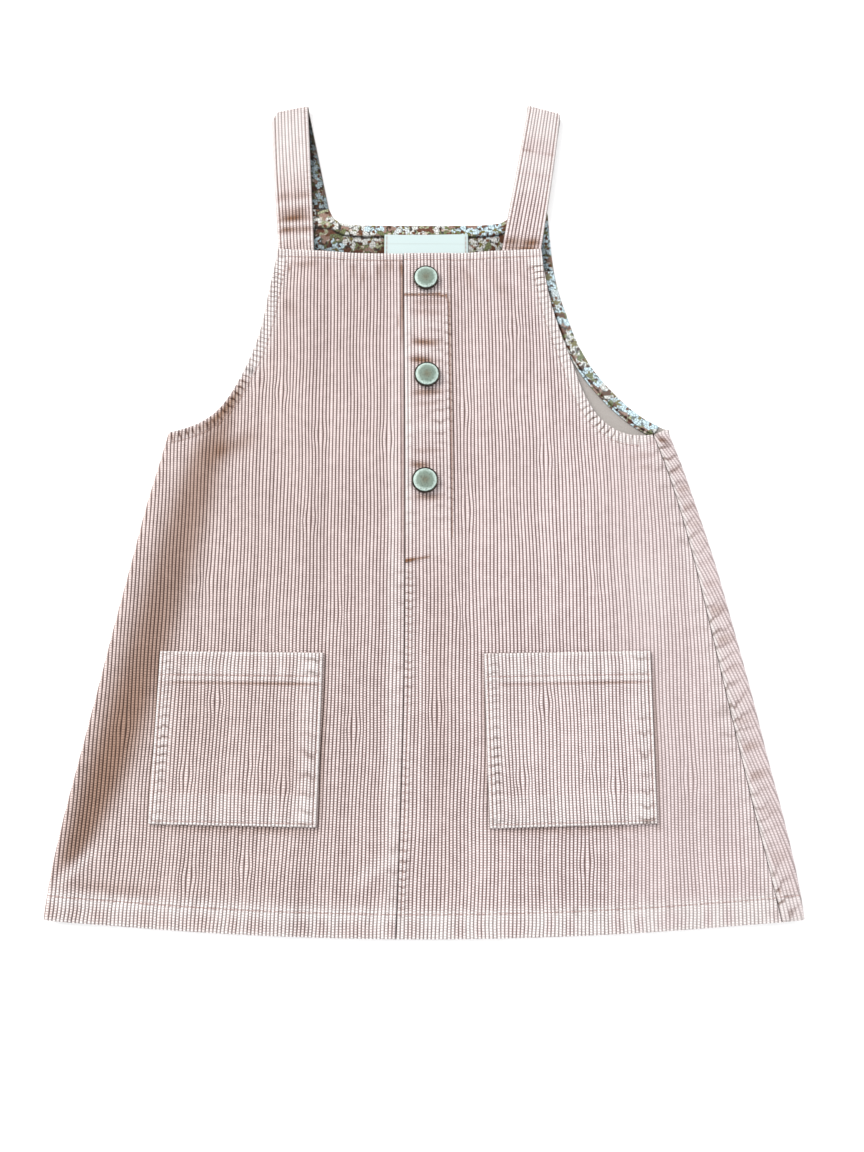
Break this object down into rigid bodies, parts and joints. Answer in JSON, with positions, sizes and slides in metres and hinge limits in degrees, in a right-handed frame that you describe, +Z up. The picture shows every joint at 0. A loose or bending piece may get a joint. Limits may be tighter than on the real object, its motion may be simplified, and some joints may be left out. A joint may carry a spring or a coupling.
{
  "type": "pinafore dress",
  "caption": "Toddler's A-line corduroy pinafore dress laid flat, front up, with a button placket, patch pockets, lined shoulder straps and a printed facing in the back.",
  "frame": {"origin": "on the surface the dress lies on, under the middle of its outline", "axes": "+X to the viewer's right, +Y from the hem towards the straps, +Z up, out of the surface"},
  "size_m": [0.4395, 0.5497, 0.0111],
  "materials": {
    "corduroy": "dusty pink cotton corduroy, matt, brushed pile in straight wales",
    "printed_cotton": "plain woven cotton with a small flower print",
    "label_tape": "white woven tape, blank",
    "button_face": "pale green-grey lacquer, satin",
    "button_rim": "dark burnished metal"
  },
  "bodies": {
    "root": {"back": "corduroy", "front_left": "corduroy", "front_right": "corduroy", "placket": "corduroy", "pocket_left": "corduroy", "pocket_right": "corduroy", "strap_left": "corduroy", "strap_right": "corduroy", "strap_lining_left": "printed_cotton", "strap_lining_right": "printed_cotton", "facing_neck": "printed_cotton", "facing_armhole": "printed_cotton", "label": "label_tape", "button_1_face": "button_face", "button_2_face": "button_face", "button_3_face": "button_face", "button_1_rim": "button_rim", "button_2_rim": "button_rim", "button_3_rim": "button_rim"}
  },
  "joints": []
}
